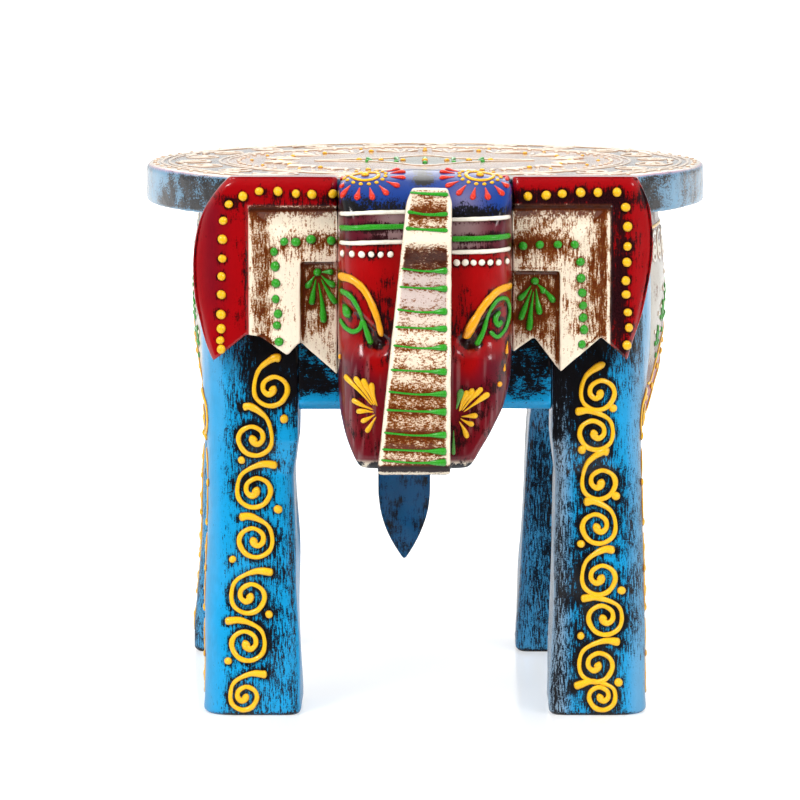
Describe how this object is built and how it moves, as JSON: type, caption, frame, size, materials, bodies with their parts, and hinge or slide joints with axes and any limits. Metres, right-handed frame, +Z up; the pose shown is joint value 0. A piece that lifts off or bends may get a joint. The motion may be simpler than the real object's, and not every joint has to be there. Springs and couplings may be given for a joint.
{
  "type": "elephant stool",
  "caption": "Round-topped low wooden stool in the shape of an elephant, with a carved head, ears and raised trunk in front, a pointed tail behind and stout legs.",
  "frame": {"origin": "on the floor, in the middle of the whole stool's bounding box", "axes": "+Z up; the elephant looks along -Y, so +X is on the right of a viewer who faces it; +Y runs back to the tail"},
  "size_m": [0.254, 0.297, 0.2405],
  "materials": {
    "seat_paint": "cream and peach enamel with raised white lines, rubbed with dark wash, clear gloss lacquer",
    "body_paint": "blue enamel rubbed with black wash, clear gloss lacquer",
    "cloth_paint": "pale enamel with a raised green and yellow pattern, rubbed with dark wash, clear gloss lacquer",
    "face_paint": "deep red enamel with a blue crown, rubbed with black wash, clear gloss lacquer",
    "trunk_paint": "cream enamel rubbed back to brown, with raised green lines, clear gloss lacquer",
    "ear_paint": "red enamel rim round a cream panel rubbed back to brown, clear gloss lacquer",
    "raised_paint": "thick yellow acrylic paint squeezed from a cone, clear gloss lacquer",
    "dowel_wood": "bare turned hardwood",
    "screw_steel": "plain steel"
  },
  "bodies": {
    "root": {"seat": "seat_paint", "leg_front_left": "body_paint", "leg_front_right": "body_paint", "leg_rear_left": "body_paint", "leg_rear_right": "body_paint", "side_board_left": "cloth_paint", "side_board_right": "cloth_paint", "front_board": "body_paint", "rear_board": "body_paint", "head": "face_paint", "trunk": "trunk_paint", "ear_left": "ear_paint", "ear_right": "ear_paint", "tail": "body_paint", "seat_dowels": "dowel_wood", "front_board_dowels": "dowel_wood", "rear_board_dowels": "dowel_wood", "side_board_dowels": "dowel_wood", "ear_dowels": "dowel_wood", "trunk_dowels": "dowel_wood", "head_screws": "screw_steel", "tail_screws": "screw_steel", "leg_front_left_tendrils": "raised_paint", "leg_front_right_tendrils": "raised_paint", "leg_rear_left_tendrils": "raised_paint", "leg_rear_right_tendrils": "raised_paint"}
  },
  "joints": []
}
